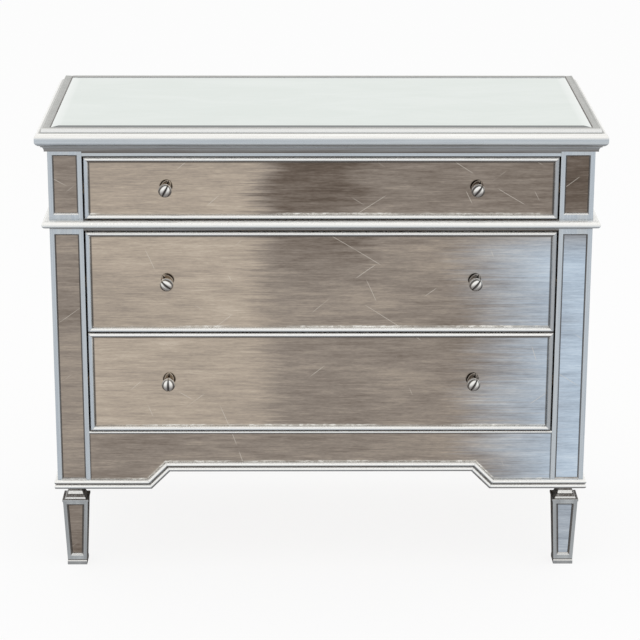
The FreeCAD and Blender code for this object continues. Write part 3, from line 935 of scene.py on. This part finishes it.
def rails():
    foot, head = low("top_rail").z, high("top_rail").z
    lit = cornice_z - cornice_shade
    shaded_rail("top_rail", [(foot, top_rail_foot_shade), (foot + arris_ease, 0.0), (lit - arris_ease, 0.0),
                             (lit + arris_ease, top_rail_head_shade), (head, top_rail_head_shade)])
    foot, head = low("waist_rail").z, high("waist_rail").z
    shaded_rail("waist_rail", [(foot, waist_rail_foot_shade), ((foot + waist_z) / 2, waist_rail_middle_shade),
                               (waist_z, full_shade), (head, full_shade)])


# Posts and side panels with inlaid mirrors

def inlay(shape, place, frame_corners, rim, depth, bevel, floor_depth, sill=0.0):
    """Face with a bevelled pocket; its sill has a relief of its own and the other bevels are painted with
    shade.
    """
    def at(corners, into):
        return [place(u, into, z) for u, z in corners]

    def stepped(inset):
        (u0, z0), (u1, _), (u2, z2), (u3, _) = rim
        return [(u0 + inset, z0 + inset), (u1 - inset, z0 + inset),
                (u2 - inset, z2 - inset), (u3 + inset, z2 - inset)]
    levels = [at(frame_corners, 0.0), at(rim, 0.0), at(stepped(bevel), depth),
              at(stepped(bevel), floor_depth)]
    painted_shade = [pocket_shade, pocket_shade, full_shade, full_shade]
    shades = [[[0.0] * 4] * 4, [[sill] * 4] + [painted_shade] * 3, [[full_shade] * 4] * 4]
    shape.steps(levels, shades)
    shape.patch(levels[-1], [full_shade] * 4)


def inlaid_board(shape, place, u0, u1, thickness, bands):
    """Upright board with one pocket in each band of its face, painted with shade under the waist moulding."""
    levels = [base_z, waist_z - waist_shade, waist_z, case_top]
    for (z0, z1), (foot, head), sill in zip((levels[:2], levels[2:]), bands, (lower_sill_darkening, 0.0)):
        corners = [(u0, z0), (u1, z0), (u1, z1), (u0, z1)]
        rim = [(u0 + inlay_border, foot), (u1 - inlay_border, foot),
               (u1 - inlay_border, head), (u0 + inlay_border, head)]
        inlay(shape, place, corners, rim, inlay_depth, inlay_bevel, inlay_depth + inlay_glass, sill)
    shape.patch([place(u0, 0.0, levels[1]), place(u1, 0.0, levels[1]),
                 place(u1, 0.0, waist_z), place(u0, 0.0, waist_z)],
                [board_shade_glaze, board_shade_glaze, full_shade, full_shade])
    for u in (u0, u1):
        shape.patch([place(u, 0.0, z) for z in levels]
                    + [place(u, thickness, case_top), place(u, thickness, base_z)])
    for z in (base_z, case_top):
        shape.patch([place(u0, 0.0, z), place(u1, 0.0, z), place(u1, thickness, z), place(u0, thickness, z)])
    shape.patch([place(u0, thickness, base_z), place(u1, thickness, base_z),
                 place(u1, thickness, case_top), place(u0, thickness, case_top)])
    shape.weld()


def inlaid_boards():
    rim = inlay_bevel + glass_clearance
    bands = [(low(node).z - rim, high(node).z + rim) for node in ("lower_post_mirrors", "upper_post_mirrors")]
    panel_low, panel_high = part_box("right_side_panel")
    for name, side in sides.items():
        post = Shape()
        inlaid_board(post, lambda u, d, z: Vector((side * u, front_y + d, z)), bay_half, case_half,
                     post_back_y - front_y, bands)
        post.piece("inlaid_front_%s_post" % name, "front_%s_post" % name, [silver["z"]],
                   board_ease)
        panel = Shape()
        inlaid_board(panel, lambda u, d, z: Vector((side * (case_half - d), u, z)),
                     panel_low.y, panel_high.y, panel_high.x - panel_low.x, bands)
        panel.piece("inlaid_%s_side_panel" % name, "%s_side_panel" % name, [silver["z"]],
                    board_ease)


# Legs

def leg_tiers(head_z):
    """Height, width and painted highlight (+) or shade (-) of the foot of each tier, from the floor up."""
    return [
        (0.0, leg_foot_width, leg_foot_shade),
        (leg_foot_block, leg_foot_width, full_highlight),
        (leg_foot_z - leg_foot_bevel / 2, leg_shaft_foot_width, full_shade),
        (leg_foot_z, leg_shaft_foot_width, 0.0),
        (leg_shaft_z, leg_shaft_top_width, 0.0),
        (leg_shaft_z, leg_collar_width, 0.0),
        (leg_collar_z, leg_collar_width, full_shade),
        (leg_collar_z, leg_step_width, 0.0),
        (leg_collar_z + step_bright_share * leg_step_height,
         leg_step_width + step_bright_share * (leg_step_top_width - leg_step_width), full_shade),
        (leg_step_z, leg_step_top_width, full_shade),
        (leg_step_z, leg_neck_width, full_highlight),
        (leg_step_z + flare_bright_share * leg_neck_flare,
         leg_neck_width + flare_bright_share * (leg_neck_top_width - leg_neck_width), full_shade),
        (leg_flare_z, leg_neck_top_width, full_shade),
        (head_z, leg_neck_top_width, full_shade),
    ]


def leg(node, inlaid_faces, side):
    """Square leg whose shaft has an inlaid mirror in some of its faces."""
    foot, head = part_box(node)
    x, y = (foot.x + head.x) / 2, (foot.y + head.y) / 2
    slope = (leg_shaft_top_width - leg_shaft_foot_width) / (2 * leg_shaft_height)

    def half(z):
        return leg_shaft_foot_width / 2 + slope * (z - leg_foot_z)

    def turned(turn, u, out, z):
        spot = Matrix.Rotation(math.radians(turn), 2) @ Vector((u, -out))
        return Vector((x + side * spot.x, y + spot.y, z))
    shape = Shape()
    tiers = leg_tiers(head.z)
    for (z0, w0, shade_and_highlight), (z1, w1, _) in zip(tiers, tiers[1:]):
        for face, turn in leg_face_turns_deg.items():
            if z0 == leg_foot_z and face in inlaid_faces:
                foot_rim, head_rim = leg_foot_z + leg_inlay_sill, leg_shaft_z - leg_inlay_head
                u0, u1 = half(foot_rim) - leg_inlay_border, half(head_rim) - leg_inlay_border
                inlay(shape, lambda u, d, z: turned(turn, u, half(z) - d, z),
                      [(-w0 / 2, z0), (w0 / 2, z0), (w1 / 2, z1), (-w1 / 2, z1)],
                      [(-u0, foot_rim), (u0, foot_rim), (u1, head_rim), (-u1, head_rim)],
                      leg_inlay_depth, leg_inlay_bevel, leg_inlay_depth + inlay_glass)
            else:
                # The inner faces take the dark matt finish painted as shade; the other plain faces take their
                # tier's painted highlight or shade
                shape.patch([turned(turn, -w0 / 2, w0 / 2, z0), turned(turn, w0 / 2, w0 / 2, z0),
                             turned(turn, w1 / 2, w1 / 2, z1), turned(turn, -w1 / 2, w1 / 2, z1)],
                            [shade_and_highlight] * 4, 1 if face == "inner" else 0)
    for z, w, _ in (tiers[0], tiers[-1]):
        shape.patch([turned(turn, w / 2, w / 2, z) for turn in leg_face_turns_deg.values()])
    shape.weld()
    shape.piece("inlaid_" + node, node, [silver["z"], dark_side], leg_ease)


def legs():
    for name, side in sides.items():
        leg("front_%s_leg" % name, ("front", "outer"), side)
        leg("rear_%s_leg" % name, ("outer",), side)


# Mirror panes with a painted reflection

def reflection_plate(node, rim, field, edges):
    """Plate of glass over an outline, with an edge strip that fades into its field."""
    y0, y1 = low(node).y, high(node).y
    front = [Vector((x, y0, z)) for x, z in rim]
    inner = [Vector((x, y0, z)) for x, z in field]
    back = [Vector((x, y1, z)) for x, z in rim]
    shape = Shape()
    for i, edge in enumerate(edges):
        j = (i + 1) % len(edges)
        shape.patch([front[i], front[j], inner[j], inner[i]], [edge, edge, 0.0, 0.0])
        shape.patch([back[i], back[j], front[j], front[i]], [edge] * 4)
    shape.patch(inner)
    shape.patch(back[::-1])
    shape.weld()
    shape.piece("painted_reflection_" + node, node, [painted_reflection_glass])


def reflection_pane(node):
    """Pane painted with shade along its head and sides, and with flakes and a lighter painted reflection
    along its sill.
    """
    foot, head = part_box(node)
    rim = [(foot.x, foot.z), (head.x, foot.z), (head.x, head.z), (foot.x, head.z)]
    field = [(foot.x + pane_side_edge, foot.z + pane_sill_edge),
             (head.x - pane_side_edge, foot.z + pane_sill_edge),
             (head.x - pane_side_edge, head.z - pane_head_edge),
             (foot.x + pane_side_edge, head.z - pane_head_edge)]
    reflection_plate(node, rim, field, [flaked_and_reflecting_sill, darkened_side, darkened_head, darkened_side])


def apron_pane():
    """Pane whose sill follows the base moulding."""
    foot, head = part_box("apron_mirror")
    path = base_path()
    turns = list(zip(path, mitres(path)))[1:-1]

    def line(sill_inset, side_inset, head_inset):
        x0, x1 = foot.x + side_inset, head.x - side_inset
        sill_z, head_z = foot.z + sill_inset, head.z - head_inset
        sill = [spot + rise * (foot.z - base_z + sill_inset) for spot, rise in turns]
        return [(x0, sill_z), *sill, (x1, sill_z), (x1, head_z), (x0, head_z)]
    edges = [flaked_and_reflecting_sill] * (len(turns) + 1) + [darkened_apron] * 3
    reflection_plate("apron_mirror", line(0, 0, 0), line(pane_sill_edge, pane_side_edge, pane_head_edge), edges)


# Drawers

def drawer_bead(drawer):
    """Four mitred lengths; their section runs through (distance in from the edge, distance off the board)."""
    node = drawer + "_drawer_bead"
    foot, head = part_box(node)
    depth = head.y - foot.y
    shoulder = depth - bead_width / 2
    outline = section([(0, 0), (bead_width, 0), (bead_width, shoulder), (0, shoulder, half_round_share)])
    # Painted shade on the bead's outer edge by the gap
    outline = [(point, full_shade if point.x < arris_ease else relief) for point, relief in outline]

    def level(at_head):
        """Outline of a level length, painted with a highlight on its round and with shade along the lower
        edge of it.
        """
        shade = head_bead_shade if at_head else sill_bead_shade
        lit_and_shaded = []
        for point, relief in outline:
            height = 1 - point.x / bead_width if at_head else point.x / bead_width
            if point.y > shoulder + arris_ease:
                relief = round_highlight if height > shade else round_underside_shade
            lit_and_shaded.append((point, relief))
        return lit_and_shaded

    def corner(x_side, at_head):
        def place(u, v):
            z = head.z - u if at_head else foot.z + u
            return Vector((x_side * (head.x - u), board_y - v, z))
        return place
    shape = Shape()
    for at_head in (False, True):
        length(shape, level(at_head), corner(-1, at_head), corner(1, at_head))
    # The right upright is painted with some shade
    for x_side, shade_glaze in ((-1, 0.0), (1, right_bead_shade)):
        upright = [(point, min(relief, shade_glaze)) for point, relief in outline]
        length(shape, upright, corner(x_side, False), corner(x_side, True), 1)
    shape.piece("silvered_" + node, node, [silver["x"], silver["z"]])


def fluted_knob(shape, x, z, turn_deg):
    """Ball with lobes from pole to pole, on a stem that stands out of the mirror."""
    centre = Vector((x, glass_y - knob_out, z))
    lean = Matrix.Rotation(math.radians(turn_deg), 3, "Y")
    around = knob_lobes * knob_steps_per_lobe
    rings, reliefs = [], []
    for row in range(1, knob_rows):
        polar = math.pi * row / knob_rows
        ring, relief = [], []
        for i in range(around):
            angle = 2 * math.pi * i / around
            hollow = (1 - abs(math.cos(angle * knob_lobes / 2))) ** flute_sharpness
            radius = knob_radius - knob_flute_depth * hollow * math.sin(polar) ** flute_fade
            spot = Vector((math.sin(polar) * math.cos(angle), math.sin(polar) * math.sin(angle),
                           math.cos(polar)))
            ring.append(centre + lean @ (radius * spot))
            # Painted shade deep in the flutes, fading towards the poles
            relief.append(-hollow * math.sin(polar) ** flute_shade_fade)
        rings.append(ring)
        reliefs.append(relief)
    shape.loft(rings, reliefs)
    rings = []
    for radius, out in stem_line:
        rings.append([Vector((x + radius * math.cos(a), glass_y - out, z + radius * math.sin(a)))
                      for a in (2 * math.pi * i / stem_steps for i in range(stem_steps))])
    # The stem is painted a little darker
    shape.loft(rings, [[stem_darkening] * stem_steps] * len(rings))


def drawer_knobs(drawer):
    node = drawer + "_drawer_knobs"
    z = (low(drawer + "_drawer_bead").z + high(drawer + "_drawer_bead").z) / 2
    shape = Shape()
    for side, turn_deg in zip(sides.values(), knob_turns_deg[drawer]):
        fluted_knob(shape, side * knob_spread / 2, z, turn_deg)
    shape.piece("fluted_" + node, node, [knob_metal])


top_frame()
top_back_strip()
top_mirror()
cornice()
waist_moulding()
base_moulding()
apron_strip()
apron_pane()
rails()
inlaid_boards()
legs()
for drawer in ("top", "middle", "bottom"):
    drawer_bead(drawer)
    reflection_pane(drawer + "_drawer_mirror")
    drawer_knobs(drawer)


# Finishes of the solids themselves

def finish_of(node):
    if node.endswith(("mirror", "mirrors")):
        return painted_reflection_glass
    if node.endswith(("screws", "bolts")):
        return zinc
    if node in ("top_board", "bottom_board", "back_panel") or node.endswith("drawer_bottom"):
        return sheet_board
    if node == "drawer_runners" or node.endswith(("left_side", "right_side")):
        return wood["y"]
    if node.endswith(("drawer_front", "drawer_back")):
        return wood["x"]
    return silver["z"] if node.endswith("post") else silver["x"]


for node, solid in frame["nodes"].items():
    solid.data.materials.clear()
    solid.data.materials.append(finish_of(node))


# Studio: pale floor, even sky and soft lamps

def seen_directly(f):
    """1 for what the eye, a gloss or clear glass sees, 0 for light falling on the chest."""
    kinds = ("Is Camera Ray", "Is Glossy Ray", "Is Transmission Ray")
    eye, gloss, glass = [f.node("LightPath", out=kind) for kind in kinds]
    return eye.above(gloss).above(glass)


def studio_floor():
    data = bpy.data.meshes.new("studio_floor")
    corners = [(-floor_reach, -floor_reach, 0), (floor_reach, -floor_reach, 0),
               (floor_reach, floor_reach, 0), (-floor_reach, floor_reach, 0)]
    data.from_pydata(corners, [], [(0, 1, 2, 3)])
    floor = bpy.data.objects.new("studio_floor", data)
    bpy.context.scene.collection.objects.link(floor)
    f = new_finish("studio_floor")
    matt = f.node("BsdfDiffuse", None, {"Color": floor_grey})
    glow = f.node("Emission", None, {"Color": white, "Strength": white_level})
    both = f.node("MixShader", None, {0: seen_directly(f) * floor_glow_share, 1: matt, 2: glow})
    f.node("OutputMaterial", None, {"Surface": both})
    data.materials.append(f.owner)


def studio_sky():
    world = bpy.data.worlds.new("studio_sky")
    f = Finish(world)
    fill = f.node("Background", None, {"Color": white, "Strength": fill_level})
    backdrop = f.node("Background", None, {"Color": white, "Strength": white_level})
    both = f.node("MixShader", None, {0: seen_directly(f), 1: fill, 2: backdrop})
    f.node("OutputWorld", None, {"Surface": both})
    bpy.context.scene.world = world


def softbox(name, place, aim, size, level):
    """Soft lamp that lights the chest but doesn't show in its mirrors."""
    lamp = bpy.data.lights.new(name, "AREA")
    lamp.shape = "RECTANGLE"
    lamp.size, lamp.size_y = size
    lamp.energy = level * math.pi * size[0] * size[1]
    holder = bpy.data.objects.new(name, lamp)
    bpy.context.scene.collection.objects.link(holder)
    holder.location = place
    holder.rotation_euler = (Vector(aim) - Vector(place)).to_track_quat("-Z", "Y").to_euler()
    holder.visible_glossy = False


def camera():
    data = bpy.data.cameras.new("camera")
    data.sensor_width = sensor_width
    data.lens = focal_pixels * sensor_width / picture_side
    holder = bpy.data.objects.new("camera", data)
    bpy.context.scene.collection.objects.link(holder)
    holder.location = camera_place
    turn = Matrix.Rotation(math.radians(camera_turn_deg), 3, "Z")
    tilt = Matrix.Rotation(math.radians(90 - camera_down_deg), 3, "X")
    roll = Matrix.Rotation(math.radians(camera_roll_deg), 3, "Z")
    holder.rotation_euler = (turn @ tilt @ roll).to_euler()
    bpy.context.scene.camera = holder


studio_floor()
studio_sky()
softbox("overhead_softbox", place=(0.0, -0.4, 3.4), aim=(0.0, -0.4, 0.0), size=(4.0, 4.0), level=0.45)
softbox("front_softbox", place=(0.0, -5.4, 2.9), aim=(0.0, 0.0, 2.9), size=(7.0, 4.4), level=0.35)
camera()
bpy.context.scene.view_settings.view_transform = "Standard"
